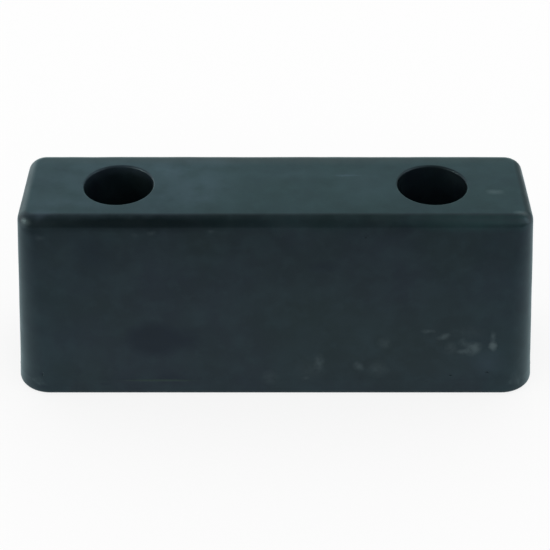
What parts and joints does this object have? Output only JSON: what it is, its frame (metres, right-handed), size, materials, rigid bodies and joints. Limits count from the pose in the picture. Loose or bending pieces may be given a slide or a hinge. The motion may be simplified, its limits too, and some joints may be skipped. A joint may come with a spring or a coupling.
{
  "type": "trailer buffer",
  "caption": "Solid moulded rubber block with tapered sides and deep stepped bolt pockets, bolted to the rear of a vehicle to cushion knocks against a loading dock.",
  "frame": {"origin": "middle of the mounting face, where the block meets the vehicle", "axes": "+X along the length, +Z out of the mounting face towards the contact face, in line with the bolts"},
  "size_m": [0.25, 0.072, 0.097],
  "materials": {
    "rubber": "moulded black rubber, satin, with a faint bloom"
  },
  "bodies": {
    "root": {"buffer_block": "rubber"}
  },
  "joints": []
}
